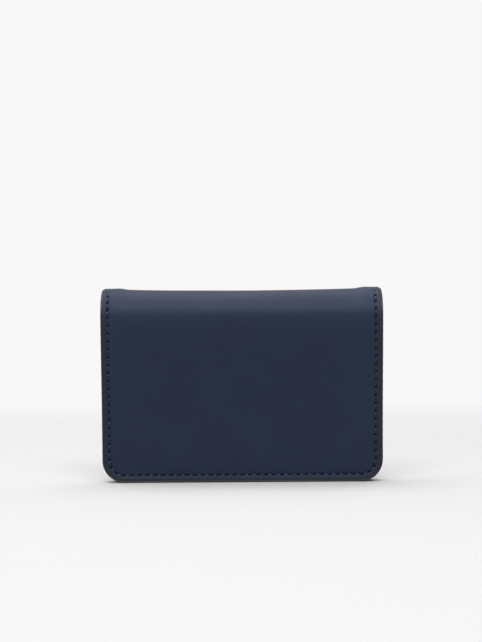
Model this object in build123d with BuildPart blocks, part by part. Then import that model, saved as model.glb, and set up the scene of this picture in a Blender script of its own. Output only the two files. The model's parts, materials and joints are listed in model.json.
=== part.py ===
"""Fold-over card holder: a leather flap hinged on a soft fold at the top, over a gusseted card pocket.

Frame: X across, -Y the front (the flap), +Y the back, +Z up. The holder stands on its bottom edges, closed.
The leather fold is built as three links, so that it can roll from a closed U to a flat, open spine.
"""

import os
from math import atan2, cos, degrees, radians, sin, tan

from build123d import *

# ---------------------------------------------------------------- driving dimensions, in mm and degrees
WIDTH = 110.0  # across the leather, at the fold
HEIGHT = 76.0  # floor to the top of the fold
FOLD_RADIUS = 7.5  # outside of the fold, so the holder is twice this deep at the top
LEAN = 5.3  # the closed flap leans back against the wedge-shaped pocket
CORNER_RADIUS = 8.7  # lower corners of both halves

COVER = 1.1  # outer leather
REINFORCEMENT = 0.4  # bonded sheet between leather and lining
LINING = 0.4
LAYER_INSET = 0.4  # inner layers stop short of the leather's cut edge

SEAM_INSET = 2.7  # stitch line from the edge
STITCH_PITCH = 3.1
STITCH_LENGTH = 2.4
STITCH_WIDTH = 0.7
GROOVE_WIDTH = 0.9
GROOVE_DEPTH = 0.45
STITCH_HEIGHT = 0.35

SLOT_LEATHER = 0.6
SLOT_ROOM = 0.8  # one bank card
SLOT_MARGIN = 4.2  # width of the sewn margin round a slot
UPPER_SLOT_MOUTH = 58.0  # measured up the flap from its free edge
LOWER_SLOT_MOUTH = 46.0
CARD_STOP = 10.0  # a sewn line that holds the upper card up
CARD_STOP_HEIGHT = 2.0

POCKET_LEATHER = 0.7
POCKET_LINING = 0.3
POCKET_BOTTOM_GAP = 1.0  # room between the back lining and the pocket, at its foot
POCKET_FOOT = 4.0  # height of the pocket's sewn bottom margin
POCKET_LENGTH = 56.2
POCKET_INSET = 1.0
POCKET_SEAM_INSET = 2.5
POCKET_GROOVE_DEPTH = 0.3
POCKET_STITCH_HEIGHT = 0.28
HINGE_GAP = 0.3  # between the pocket panel and its foot

GUSSET_LEATHER = 0.45
GUSSET_DEPTH = 7.0  # how far the side fold reaches into the pocket
GUSSET_CLEAR = 0.05
GUSSET_TOP = 58.0

FOLD_LINKS = 3
LINK_GAP = 0.15  # between neighbouring links, at the outside

# ---------------------------------------------------------------- worked out from them
STACK = COVER + REINFORCEMENT + LINING
FOLD_CENTRE = HEIGHT - FOLD_RADIUS
TOTAL_BEND = 180.0 + LEAN
BEND = TOTAL_BEND / (FOLD_LINKS + 1)  # each of the hinge lines takes an equal share
GAP_ANGLE = degrees(LINK_GAP / FOLD_RADIUS)
FLAP_LENGTH = (FOLD_CENTRE - FOLD_RADIUS * sin(radians(LEAN))) / cos(radians(LEAN))
FLAP_FOOT_Y = FLAP_LENGTH * sin(radians(LEAN)) - FOLD_RADIUS * cos(radians(LEAN))
POCKET_FOOT_Y = FOLD_RADIUS - STACK - POCKET_BOTTOM_GAP

BACK_PLANE = Plane(origin=(0, FOLD_RADIUS, 0), x_dir=(-1, 0, 0), z_dir=(0, 1, 0))
LEANING = (0, -cos(radians(LEAN)), -sin(radians(LEAN)))
FLAP_PLANE = Plane(origin=(0, FLAP_FOOT_Y, 0), x_dir=(1, 0, 0), z_dir=LEANING)
POCKET_PLANE = Plane(origin=(0, POCKET_FOOT_Y, POCKET_FOOT), x_dir=(1, 0, 0), z_dir=LEANING)


def half_outline(length, inset=0.0, foot=0.0):
    """A half's outline in its own plane, lower corners rounded, from `foot` up to `length`."""
    half = WIDTH / 2 - inset
    radius = CORNER_RADIUS - inset
    with BuildSketch(mode=Mode.PRIVATE) as outline:
        with BuildLine():
            FilletPolyline((-half, length), (-half, inset), (half, inset), (half, length), radius=radius)
            Line((half, length), (-half, length))
        make_face()
        if foot > inset:
            with Locations((0, foot / 2)):
                Rectangle(WIDTH, foot, mode=Mode.SUBTRACT)
    return outline.sketch


def seam_line(length, inset):
    """The U-shaped stitch line of a half: down one side, round the bottom, up the other."""
    half = WIDTH / 2 - inset
    with BuildLine(mode=Mode.PRIVATE) as line:
        FilletPolyline(
            (-half, length), (-half, inset), (half, inset), (half, length), radius=CORNER_RADIUS - inset
        )
    return line.wire()


def stitch_places(wire):
    """Evenly spaced stitches along a seam line, each with its direction in degrees."""
    count = round(wire.length / STITCH_PITCH)
    places = []
    for index in range(count):
        share = (index + 0.5) / count
        point = wire.position_at(share)
        way = wire.tangent_at(share)
        places.append(Location((point.X, point.Y, 0), (0, 0, degrees(atan2(way.Y, way.X)))))
    return places


def ring_sector(outer, inner, start, end):
    """Face between two arcs about the fold's centre; angles run from the back (0) over the top to the front."""
    with BuildSketch(mode=Mode.PRIVATE) as sector:
        with BuildLine():
            first = CenterArc((0, FOLD_CENTRE), outer, start, end - start)
            second = CenterArc((0, FOLD_CENTRE), inner, start, end - start)
            Line(first @ 0, second @ 0)
            Line(first @ 1, second @ 1)
        make_face()
    return sector.sketch


def arc_strip(depth, thickness, start, end, inset=0.0):
    """One layer's strip round part of the fold, `depth` below the outside."""
    with BuildPart(mode=Mode.PRIVATE) as strip:
        with BuildSketch(Plane.YZ):
            add(ring_sector(FOLD_RADIUS - depth, FOLD_RADIUS - depth - thickness, start, end))
        extrude(amount=WIDTH / 2 - inset, both=True)
    return strip.part


def arc_grooves(start, end):
    """The stitch groove down each side of the fold."""
    with BuildPart(mode=Mode.PRIVATE) as grooves:
        for side in (-1, 1):
            with BuildSketch(Plane.YZ.offset(side * (WIDTH / 2 - SEAM_INSET))):
                add(ring_sector(FOLD_RADIUS + 0.1, FOLD_RADIUS - GROOVE_DEPTH, start, end))
            extrude(amount=GROOVE_WIDTH / 2, both=True)
    return grooves.part


def panel_groove(plane, length):
    """The U-shaped stitch groove of a half, cut into its outer face."""
    with BuildPart(mode=Mode.PRIVATE) as groove:
        with BuildSketch(plane):
            add(half_outline(length, SEAM_INSET - GROOVE_WIDTH / 2))
            add(half_outline(length, SEAM_INSET + GROOVE_WIDTH / 2), mode=Mode.SUBTRACT)
        extrude(amount=-GROOVE_DEPTH)
    return groove.part


def panel_stitches(plane, length):
    """Stitches of a half's seam, laid in its groove."""
    with BuildPart(mode=Mode.PRIVATE) as stitches:
        with BuildSketch(plane.offset(-GROOVE_DEPTH)):
            with Locations(*stitch_places(seam_line(length, SEAM_INSET))):
                SlotOverall(STITCH_LENGTH, STITCH_WIDTH)
        extrude(amount=STITCH_HEIGHT)
    return stitches.part


def arc_stitches(angles):
    """Stitches down both sides of the fold, at these angles."""
    middle = FOLD_RADIUS - GROOVE_DEPTH + STITCH_HEIGHT / 2 + 0.01
    with BuildPart(mode=Mode.PRIVATE) as stitches:
        for side in (-1, 1):
            for angle in angles:
                radial = (0, cos(radians(angle)), sin(radians(angle)))
                centre = (
                    side * (WIDTH / 2 - SEAM_INSET),
                    middle * radial[1],
                    FOLD_CENTRE + middle * radial[2],
                )
                with Locations(Plane(origin=centre, x_dir=(1, 0, 0), z_dir=radial)):
                    Box(STITCH_WIDTH, STITCH_LENGTH - 0.1, STITCH_HEIGHT)
    return stitches.part


def strip_of(outline, low, high, foot, top):
    """The part of an outline between two X values and two heights."""
    with BuildSketch(mode=Mode.PRIVATE) as strip:
        add(outline)
        with Locations(((low + high) / 2, (foot + top) / 2)):
            Rectangle(high - low, top - foot, mode=Mode.INTERSECT)
    return strip.sketch


finished = {}


def keep(name, part):
    """Labels a finished piece and writes its STEP file."""
    part.label = name
    os.makedirs("parts", exist_ok=True)
    export_step(part, f"parts/{name}.step")
    finished[name] = part


# ---------------------------------------------------------------- back half
back_end = BEND / 2 - GAP_ANGLE / 2

with BuildPart() as back_cover:
    with BuildSketch(BACK_PLANE):
        add(half_outline(FOLD_CENTRE))
    extrude(amount=-COVER)
    add(arc_strip(0, COVER, 0, back_end))
    add(panel_groove(BACK_PLANE, FOLD_CENTRE), mode=Mode.SUBTRACT)
    add(arc_grooves(0, back_end), mode=Mode.SUBTRACT)
keep("back_cover", back_cover.part)

with BuildPart() as back_reinforcement:
    with BuildSketch(BACK_PLANE.offset(-COVER)):
        add(half_outline(FOLD_CENTRE, LAYER_INSET))
    extrude(amount=-REINFORCEMENT)
    add(arc_strip(COVER, REINFORCEMENT, 0, back_end, LAYER_INSET))
keep("back_reinforcement", back_reinforcement.part)

with BuildPart() as back_lining:
    with BuildSketch(BACK_PLANE.offset(-COVER - REINFORCEMENT)):
        add(half_outline(FOLD_CENTRE, LAYER_INSET))
    extrude(amount=-LINING)
    add(arc_strip(COVER + REINFORCEMENT, LINING, 0, back_end, LAYER_INSET))
keep("back_lining", back_lining.part)

with BuildPart() as back_seam_thread:
    add(panel_stitches(BACK_PLANE, FOLD_CENTRE))
    add(arc_stitches([BEND / 4]))
keep("back_seam_thread", back_seam_thread.part)

with BuildPart() as pocket_foot:
    with BuildSketch(BACK_PLANE.offset(-STACK)):
        add(
            strip_of(
                half_outline(FOLD_CENTRE, LAYER_INSET), -WIDTH / 2, WIDTH / 2, LAYER_INSET, POCKET_FOOT
            )
        )
    extrude(amount=-(POCKET_BOTTOM_GAP + POCKET_LEATHER + POCKET_LINING))
keep("pocket_foot", pocket_foot.part)


def gusset_section(height, side):
    """The side gusset's V at one height: open to the side, its fold pointing into the pocket."""
    gap = POCKET_BOTTOM_GAP + (height - POCKET_FOOT) * tan(radians(LEAN))
    rear = FOLD_RADIUS - STACK - GUSSET_CLEAR
    front = FOLD_RADIUS - STACK - gap + GUSSET_CLEAR
    mouth_x = side * (WIDTH / 2 - POCKET_INSET - LAYER_INSET)
    fold_x = mouth_x - side * GUSSET_DEPTH
    notch_x = fold_x + side * 2 * GUSSET_LEATHER
    middle = (rear + front) / 2
    with BuildSketch(Plane.XY.offset(height), mode=Mode.PRIVATE) as section:
        with BuildLine():
            Polyline(
                (mouth_x, rear),
                (fold_x, middle),
                (mouth_x, front),
                (mouth_x, front + GUSSET_LEATHER),
                (notch_x, middle),
                (mouth_x, rear - GUSSET_LEATHER),
                close=True,
            )
        make_face()
    return section.sketch


for side, word in ((-1, "left"), (1, "right")):
    with BuildPart() as gusset:
        low_section = gusset_section(POCKET_FOOT + 1.0, side)
        high_section = gusset_section(GUSSET_TOP, side)
        loft([low_section, high_section], ruled=True)
    keep(f"gusset_{word}", gusset.part)

# ---------------------------------------------------------------- front panel of the card pocket
pocket_half_width = WIDTH / 2 - POCKET_INSET

with BuildPart() as pocket_front:
    with BuildSketch(POCKET_PLANE.offset(POCKET_LINING)):
        with Locations((0, (HINGE_GAP + POCKET_LENGTH) / 2)):
            Rectangle(2 * pocket_half_width, POCKET_LENGTH - HINGE_GAP)
    extrude(amount=POCKET_LEATHER)
    groove_x = pocket_half_width - POCKET_SEAM_INSET
    with BuildSketch(POCKET_PLANE.offset(POCKET_LINING + POCKET_LEATHER)):
        with Locations((-groove_x, POCKET_LENGTH / 2), (groove_x, POCKET_LENGTH / 2)):
            Rectangle(GROOVE_WIDTH, POCKET_LENGTH + 1)
    extrude(amount=-POCKET_GROOVE_DEPTH, mode=Mode.SUBTRACT)
keep("pocket_front", pocket_front.part)

with BuildPart() as pocket_front_lining:
    with BuildSketch(POCKET_PLANE):
        with Locations((0, (HINGE_GAP + POCKET_LENGTH) / 2)):
            Rectangle(2 * (pocket_half_width - LAYER_INSET), POCKET_LENGTH - HINGE_GAP)
    extrude(amount=POCKET_LINING)
keep("pocket_front_lining", pocket_front_lining.part)

with BuildPart() as pocket_seam_thread:
    stitch_count = int((POCKET_LENGTH - HINGE_GAP) / STITCH_PITCH)
    seam_middle = (HINGE_GAP + POCKET_LENGTH) / 2
    with BuildSketch(POCKET_PLANE.offset(POCKET_LINING + POCKET_LEATHER - POCKET_GROOVE_DEPTH)):
        with Locations((-groove_x, seam_middle), (groove_x, seam_middle)):
            with GridLocations(0, STITCH_PITCH, 1, stitch_count):
                SlotOverall(STITCH_LENGTH, STITCH_WIDTH, rotation=90)
    extrude(amount=POCKET_STITCH_HEIGHT)
keep("pocket_seam_thread", pocket_seam_thread.part)

# ---------------------------------------------------------------- links of the fold
for link in range(FOLD_LINKS):
    start = BEND * (link + 0.5) + GAP_ANGLE / 2
    end = BEND * (link + 1.5) - GAP_ANGLE / 2
    middle = (start + end) / 2

    with BuildPart() as fold_cover:
        add(arc_strip(0, COVER, start, end))
        add(arc_grooves(start, end), mode=Mode.SUBTRACT)
    keep(f"fold_cover_{link + 1}", fold_cover.part)

    with BuildPart() as fold_reinforcement:
        add(arc_strip(COVER, REINFORCEMENT, start, end, LAYER_INSET))
    keep(f"fold_reinforcement_{link + 1}", fold_reinforcement.part)

    with BuildPart() as fold_lining:
        add(arc_strip(COVER + REINFORCEMENT, LINING, start, end, LAYER_INSET))
    keep(f"fold_lining_{link + 1}", fold_lining.part)

    with BuildPart() as fold_seam_thread:
        add(arc_stitches([middle - BEND / 4, middle + BEND / 4]))
    keep(f"fold_seam_thread_{link + 1}", fold_seam_thread.part)

# ---------------------------------------------------------------- flap
flap_start = TOTAL_BEND - BEND / 2 + GAP_ANGLE / 2

with BuildPart() as flap_cover:
    with BuildSketch(FLAP_PLANE):
        add(half_outline(FLAP_LENGTH))
    extrude(amount=-COVER)
    add(arc_strip(0, COVER, flap_start, TOTAL_BEND))
    add(panel_groove(FLAP_PLANE, FLAP_LENGTH), mode=Mode.SUBTRACT)
    add(arc_grooves(flap_start, TOTAL_BEND), mode=Mode.SUBTRACT)
keep("flap_cover", flap_cover.part)

with BuildPart() as flap_reinforcement:
    with BuildSketch(FLAP_PLANE.offset(-COVER)):
        add(half_outline(FLAP_LENGTH, LAYER_INSET))
    extrude(amount=-REINFORCEMENT)
    add(arc_strip(COVER, REINFORCEMENT, flap_start, TOTAL_BEND, LAYER_INSET))
keep("flap_reinforcement", flap_reinforcement.part)

with BuildPart() as flap_lining:
    with BuildSketch(FLAP_PLANE.offset(-COVER - REINFORCEMENT)):
        add(half_outline(FLAP_LENGTH, LAYER_INSET))
    extrude(amount=-LINING)
    add(arc_strip(COVER + REINFORCEMENT, LINING, flap_start, TOTAL_BEND, LAYER_INSET))
keep("flap_lining", flap_lining.part)

with BuildPart() as flap_seam_thread:
    add(panel_stitches(FLAP_PLANE, FLAP_LENGTH))
    add(arc_stitches([TOTAL_BEND - BEND / 4]))
keep("flap_seam_thread", flap_seam_thread.part)


def slot(name, depth, mouth, stop=None):
    """A card slot inside the flap: a leather panel held off the layer under it by its sewn margins."""
    outline = half_outline(mouth, LAYER_INSET)
    inner_x = WIDTH / 2 - LAYER_INSET - SLOT_MARGIN
    foot_top = LAYER_INSET + SLOT_MARGIN
    with BuildPart() as panel:
        with BuildSketch(FLAP_PLANE.offset(-depth - SLOT_ROOM)):
            add(outline)
        extrude(amount=-SLOT_LEATHER)
    keep(f"{name}_panel", panel.part)

    with BuildPart() as margins:
        with BuildSketch(FLAP_PLANE.offset(-depth)):
            add(strip_of(outline, -inner_x, inner_x, 0, foot_top))
        extrude(amount=-SLOT_ROOM)
    side_strips = []
    for low, high in ((-WIDTH / 2, -inner_x), (inner_x, WIDTH / 2)):
        with BuildPart() as strip:
            with BuildSketch(FLAP_PLANE.offset(-depth)):
                add(strip_of(outline, low, high, 0, mouth))
            extrude(amount=-SLOT_ROOM)
        side_strips.append(strip.part.solid())
    pieces = [margins.part.solid(), *side_strips]
    if stop is not None:
        with BuildPart() as card_stop:
            with BuildSketch(FLAP_PLANE.offset(-depth)):
                with Locations((0, stop)):
                    Rectangle(2 * inner_x, CARD_STOP_HEIGHT)
            extrude(amount=-SLOT_ROOM)
        pieces.append(card_stop.part.solid())
    keep(f"{name}_margins", Compound(children=pieces))


slot("upper_slot", STACK, UPPER_SLOT_MOUTH, CARD_STOP)
slot("lower_slot", STACK + SLOT_ROOM + SLOT_LEATHER, LOWER_SLOT_MOUTH)

# ---------------------------------------------------------------- joint axes and sizes, for the record
neutral = FOLD_RADIUS * radians(BEND / 2) / sin(radians(BEND / 2))
for hinge in range(FOLD_LINKS + 1):
    angle = radians(BEND * (hinge + 0.5))
    print(f"fold hinge {hinge + 1}: y {neutral * cos(angle):.4f} z {FOLD_CENTRE + neutral * sin(angle):.4f}")
print(f"each fold hinge turns {BEND:.3f} degrees")
print(f"pocket hinge: y {POCKET_FOOT_Y:.4f} z {POCKET_FOOT:.4f}")
pocket_face = POCKET_PLANE.to_local_coords(
    FLAP_PLANE.from_local_coords((0, 30, -STACK - 2 * (SLOT_ROOM + SLOT_LEATHER)))
)
clearance = pocket_face.Z - POCKET_LEATHER - POCKET_LINING
print(f"flap to pocket clearance {clearance:.3f}, flap length {FLAP_LENGTH:.3f}, foot y {FLAP_FOOT_Y:.3f}")
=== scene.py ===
"""Looks of the navy leather card holder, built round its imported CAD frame.

The leather is one long sheet: up the back, over the fold and down the flap. Every layer is made flat, in
sheet coordinates (x across, s along the sheet from the back's foot to the flap's free edge, depth below the
outer face), and then laid round the profile. Lengths are millimetres until they reach Blender.
"""

import json
import math

import bpy
import numpy as np
from mathutils import Matrix, Vector


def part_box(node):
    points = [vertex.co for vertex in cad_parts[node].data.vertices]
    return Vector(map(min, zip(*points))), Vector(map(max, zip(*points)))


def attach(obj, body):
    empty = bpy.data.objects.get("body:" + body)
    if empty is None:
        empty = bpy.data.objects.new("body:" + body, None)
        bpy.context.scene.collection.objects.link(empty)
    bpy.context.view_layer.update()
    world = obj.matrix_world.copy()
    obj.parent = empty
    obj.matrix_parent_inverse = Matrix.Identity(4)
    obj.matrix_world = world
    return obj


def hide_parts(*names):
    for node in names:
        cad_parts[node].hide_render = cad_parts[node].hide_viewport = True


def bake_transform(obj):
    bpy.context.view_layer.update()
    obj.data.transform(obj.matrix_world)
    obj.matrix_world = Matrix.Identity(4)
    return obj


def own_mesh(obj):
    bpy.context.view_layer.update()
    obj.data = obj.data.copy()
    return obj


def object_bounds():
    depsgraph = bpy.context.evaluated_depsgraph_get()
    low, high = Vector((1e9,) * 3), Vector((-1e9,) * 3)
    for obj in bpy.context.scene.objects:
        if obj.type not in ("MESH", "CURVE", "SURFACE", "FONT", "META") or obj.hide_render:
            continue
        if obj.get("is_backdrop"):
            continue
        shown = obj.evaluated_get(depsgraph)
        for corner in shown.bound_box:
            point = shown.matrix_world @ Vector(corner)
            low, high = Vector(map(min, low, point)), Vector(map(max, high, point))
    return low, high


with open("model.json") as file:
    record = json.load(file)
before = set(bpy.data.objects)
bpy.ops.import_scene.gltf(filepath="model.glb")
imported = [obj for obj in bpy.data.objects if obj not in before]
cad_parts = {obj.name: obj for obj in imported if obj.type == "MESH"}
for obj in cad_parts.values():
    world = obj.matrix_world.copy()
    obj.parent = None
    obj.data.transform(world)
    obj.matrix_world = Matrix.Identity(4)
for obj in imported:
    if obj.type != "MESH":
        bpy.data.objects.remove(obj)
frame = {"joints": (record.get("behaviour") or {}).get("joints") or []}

bpy.context.view_layer.update()
MM = 0.001

# ------------------------------------------------------------------ sizes read from the CAD frame
JOINTS = {joint["name"]: joint for joint in frame["joints"]}
BEND = math.radians(JOINTS["flap_open"]["range_deg"][1])
ZONES = 4
TOTAL = ZONES * BEND
LEAN = TOTAL - math.pi
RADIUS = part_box("back_cover")[1].y / MM
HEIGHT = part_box("fold_cover_2")[1].z / MM
PAINT = 0.11  # how far the edge paint stands proud of the cut leather
HALF_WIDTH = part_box("back_cover")[1].x / MM - PAINT
CENTRE_Z = HEIGHT - RADIUS
BACK_END = CENTRE_Z
ARC = RADIUS * TOTAL
FLAP_START = BACK_END + ARC
CUTS_AT = [RADIUS * BEND * k for k in (1, 2, 3)]

# The outer face's profile: distance along the sheet from the fold's start, and the degrees its normal has
# turned from the back. It is nearly as long as the CAD's, but tighter behind the crest and fuller in front of
# it. The flap leans most in its upper half and is nearly upright at its free edge.
TURNS = [
    (-100, 0), (3.3, 0), (9.9, 90), (26.9, 180), (32, 186.8), (42, 188), (54, 187.5), (64, 185.8),
    (74, 183.7), (84, 182), (92.5, 181.4), (120, 181.4),
]
GRID_STEP = 0.02
BLUR_STEPS, BLUR = 100, 0.7  # how far the profile's corners are rounded
GRID = np.arange(-80, 110, GRID_STEP)
turned = np.interp(GRID, *zip(*TURNS))
kernel = np.exp(-((np.arange(-BLUR_STEPS, BLUR_STEPS + 1) * GRID_STEP / BLUR) ** 2))
turned = np.convolve(np.pad(turned, BLUR_STEPS, "edge"), kernel / kernel.sum(), "valid")
NORMAL_ANGLE = np.radians(turned)
mid_angle = (NORMAL_ANGLE[1:] + NORMAL_ANGLE[:-1]) / 2
PROFILE_Y = np.concatenate([[0], np.cumsum(-np.sin(mid_angle) * GRID_STEP)])
PROFILE_Z = np.concatenate([[0], np.cumsum(np.cos(mid_angle) * GRID_STEP)])
origin = np.searchsorted(GRID, 0)
PROFILE_Y += RADIUS - PROFILE_Y[origin]
PROFILE_Z += CENTRE_Z - PROFILE_Z[origin]
falling = GRID > ARC
SHEET_END = BACK_END + GRID[falling][np.argmax(PROFILE_Z[falling] <= PAINT)]
FLAP_LENGTH = SHEET_END - FLAP_START
CUTS = [BACK_END + cut for cut in CUTS_AT]
CORNER = 8.7  # radius of the sheet's four corners

COVER = 1.1  # depth of each layer's far face
LINING_TOP = 1.5
STACK = 1.9
LAYER_INSET = 0.35
SEAM_INSET = 2.7
STITCH_PITCH = 3.1
SIDE_PITCH = RADIUS * BEND / 2
SLOT_ROOM = 0.8
SLOT_LEATHER = 0.6
UPPER_MOUTH = 58.0
LOWER_MOUTH = 46.0

POCKET_Y = JOINTS["pocket_squeeze"]["pos_m"][1] / MM
POCKET_Z = JOINTS["pocket_squeeze"]["pos_m"][2] / MM
POCKET_LENGTH = 56.2
POCKET_HALF_WIDTH = 54.0
LINING_FACE_Y = RADIUS - STACK


# ------------------------------------------------------------------ where the sheet lies
def smooth(value, low, high):
    t = np.clip((value - low) / (high - low), 0, 1)
    return t * t * (3 - 2 * t)


def swell(x, s):
    """How far the soft sheet stands out from the profile: ears at the fold's ends, a slight sag between them,
    a faint hollow in the flap, and the small unevenness of hide."""
    edge = HALF_WIDTH - np.abs(x)
    dip = 0.5 * smooth(edge, 7.2, 10.2) + 0.7 * (1 - np.exp(-np.clip(edge - 10, 0, None) / 18))
    crest = BACK_END + RADIUS * math.pi / 2
    over_fold = np.exp(-(((s - crest) / 7.5) ** 2))
    ears = (0.38 + 0.12 * smooth(x, 43, 52) - 0.8 * (1 - smooth(edge, -0.2, 1.6)) - dip) * over_fold
    flap = np.clip((s - FLAP_START + 3) / (FLAP_LENGTH + 3), 0, 1)
    hollow = -0.25 * np.sin(math.pi * flap) ** 2 * smooth(edge, 0, 30)
    step = 0.10 * (1 - smooth(edge, 7.0, 12.0)) * smooth(s, BACK_END, FLAP_START)
    waves = 0.035 * np.sin(x / 17 + 0.8) * np.sin(s / 13 + 0.4) + 0.02 * np.sin(x / 7.3 - s / 9.1)
    return ears + hollow + step + waves * smooth(edge, 2, 16)


def lay(x, s, depth):
    """Sheet coordinates to the row frame, in metres."""
    x, s, depth = np.broadcast_arrays(np.asarray(x, float), np.asarray(s, float), np.asarray(depth, float))
    angle = np.interp(s - BACK_END, GRID, NORMAL_ANGLE)
    out = swell(x, s) - depth
    y = np.interp(s - BACK_END, GRID, PROFILE_Y) + out * np.cos(angle)
    z = np.interp(s - BACK_END, GRID, PROFILE_Z) + out * np.sin(angle)
    return np.stack([x, y, z], 1) * MM


def pocket_bow(v):
    """How far the pocket's front hollows in its lower half, behind the flap."""
    return 0.75 * np.exp(-(((v - 24) / 13) ** 2))


def lay_pocket(x, v, depth):
    """The pocket's front: v is the height above its foot's top, depth is from its front face backwards."""
    x, v, depth = np.broadcast_arrays(np.asarray(x, float), np.asarray(v, float), np.asarray(depth, float))
    turn = LEAN * smooth(v, -2.0, 2.0)
    along = v * np.sin(turn) - pocket_bow(v)
    front = POCKET_Y - 1.0 - along
    y = front + depth * np.cos(turn)
    z = POCKET_Z + v * np.cos(turn) - (1.0 - depth) * np.sin(turn)
    return np.stack([x, y, z], 1) * MM


# ------------------------------------------------------------------ flat meshes
class Flat:
    """Polygons in sheet coordinates, all wound the same way, that share the corners they have in common."""

    def __init__(self):
        self.index = {}
        self.points = []
        self.faces = []

    def vertex(self, point):
        key = (round(point[0], 4), round(point[1], 4))
        if key not in self.index:
            self.index[key] = len(self.points)
            self.points.append(point)
        return self.index[key]

    def face(self, *points):
        corners = []
        for point in points:
            number = self.vertex(point)
            if number not in corners:
                corners.append(number)
        if len(corners) < 3:
            return
        ring = [self.points[c] for c in corners]
        area = sum(a[0] * b[1] - b[0] * a[1] for a, b in zip(ring, ring[1:] + ring[:1]))
        self.faces.append(corners if area > 0 else corners[::-1])

    def border(self):
        """Border edges, each directed as its own face goes round."""
        edges = {}
        for face in self.faces:
            for a, b in zip(face, face[1:] + face[:1]):
                edges[(a, b)] = True
        return [edge for edge in edges if (edge[1], edge[0]) not in edges]


def spaced(low, high, step):
    return list(np.linspace(low, high, max(1, round((high - low) / step)) + 1))


def flat_sheet(half_width, rows, rings, radius, column_step, group=3, feet=(True, True), interior=True):
    """A sheet with rounded corners at its feet. Rings follow the outline, the last one `radius` inside it."""
    flat = Flat()
    inner = half_width - radius
    coarse = spaced(-inner, inner, column_step * group)
    fine = [a + (b - a) * k / group for a, b in zip(coarse, coarse[1:]) for k in range(group)] + [inner]
    for low, high in zip(rows, rows[1:]):
        for side in (-1, 1):
            for out, into in zip(rings, rings[1:]):
                a, b = side * (half_width - out), side * (half_width - into)
                flat.face((a, low), (b, low), (b, high), (a, high))
        if interior:
            for a, b in zip(coarse, coarse[1:]):
                flat.face((a, low), (b, low), (b, high), (a, high))
    for wanted, way, base in ((feet[0], -1, rows[0]), (feet[1], 1, rows[-1])):
        if not wanted:
            continue
        levels = [base + way * (radius - ring) for ring in rings]
        last = len(rings) - 2 if interior else len(rings) - 1
        for low, high in zip(levels[:last], levels[1 : last + 1]):
            for a, b in zip(fine, fine[1:]):
                flat.face((a, low), (b, low), (b, high), (a, high))
        if interior:
            for number in range(len(coarse) - 1):
                near = fine[number * group : (number + 1) * group + 1]
                run = [(x, levels[-2]) for x in near]
                flat.face(*run, (near[-1], levels[-1]), (near[0], levels[-1]))
        angles = spaced(0, math.pi / 2, math.pi / 2 / max(8, round(radius * 3)))
        for side in (-1, 1):
            for out, into in zip(rings, rings[1:]):
                for first, second in zip(angles, angles[1:]):
                    corner = []
                    for ring, angle in ((out, first), (into, first), (into, second), (out, second)):
                        reach = radius - ring
                        across = inner + reach * math.cos(angle) if angle < math.pi / 2 - 1e-9 else inner
                        corner.append((side * across, base + way * reach * math.sin(angle)))
                    flat.face(*corner)
    return flat


def outline_directions(flat, border):
    """Each border corner's outward direction in the sheet, longer where the outline turns sharply."""
    sums = {}
    for a, b in border:
        (ax, ay), (bx, by) = flat.points[a], flat.points[b]
        way = np.array([by - ay, ax - bx])
        way = way / np.linalg.norm(way)
        sums.setdefault(a, []).append(way)
        sums.setdefault(b, []).append(way)
    directions = {}
    for corner, ways in sums.items():
        mean = sum(ways) / len(ways)
        directions[corner] = mean / max(np.dot(mean, mean), 0.4)
    return directions


# ------------------------------------------------------------------ from flat to solid
def solidify(flat, outer, inner, edge, place):
    """A closed solid: the outer face at depth outer(x, s), the inner face at depth `inner`, and between them
    the cut edge as loops (outset, depth as a share from the outer face's rim to the inner face)."""
    points = np.array(flat.points)
    count = len(points)
    top = outer(points[:, 0], points[:, 1])
    bottom = np.full(count, float(inner))
    sheet = [np.column_stack([points, top]), np.column_stack([points, bottom])]
    faces = [face[::-1] for face in flat.faces]
    faces += [[c + count for c in face] for face in flat.faces]
    border = flat.border()
    directions = outline_directions(flat, border)
    rim = sorted(directions)
    place_in_loop = {corner: number for number, corner in enumerate(rim)}
    ways = np.array([directions[c] for c in rim])
    previous = {c: c for c in rim}
    start = 2 * count
    for outset, share in edge:
        loop = points[rim] + ways * outset
        depth = top[rim] + (bottom[rim] - top[rim]) * share
        sheet.append(np.column_stack([loop, depth]))
        current = {c: start + place_in_loop[c] for c in rim}
        faces += [[previous[a], previous[b], current[b], current[a]] for a, b in border]
        previous = current
        start += len(rim)
    faces += [[previous[a], previous[b], b + count, a + count] for a, b in border]
    sheet = np.vstack(sheet)
    return place(sheet[:, 0], sheet[:, 1], sheet[:, 2]), faces, sheet


def normals_of(points, faces):
    """Smooth corner normals of a whole mesh, so that pieces cut from it still shade as one."""
    sums = np.zeros_like(points)
    for face in faces:
        corners = points[face]
        across = np.cross(corners - corners[0], np.roll(corners, -1, axis=0) - corners[0]).sum(0)
        size = np.linalg.norm(across)
        if size > 0:
            sums[face] += across / size * size**0.5
    lengths = np.linalg.norm(sums, axis=1)
    return sums / np.maximum(lengths, 1e-12)[:, None]


def loops_of(faces):
    """The open borders of a set of faces, as closed runs of corners."""
    edges = {(a, b) for face in faces for a, b in zip(face, face[1:] + face[:1])}
    following = {b: a for a, b in edges if (b, a) not in edges}
    runs = []
    while following:
        start = next(iter(following))
        run = [start]
        corner = following.pop(start)
        while corner != start:
            run.append(corner)
            corner = following.pop(corner)
        runs.append(run)
    return runs


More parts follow.
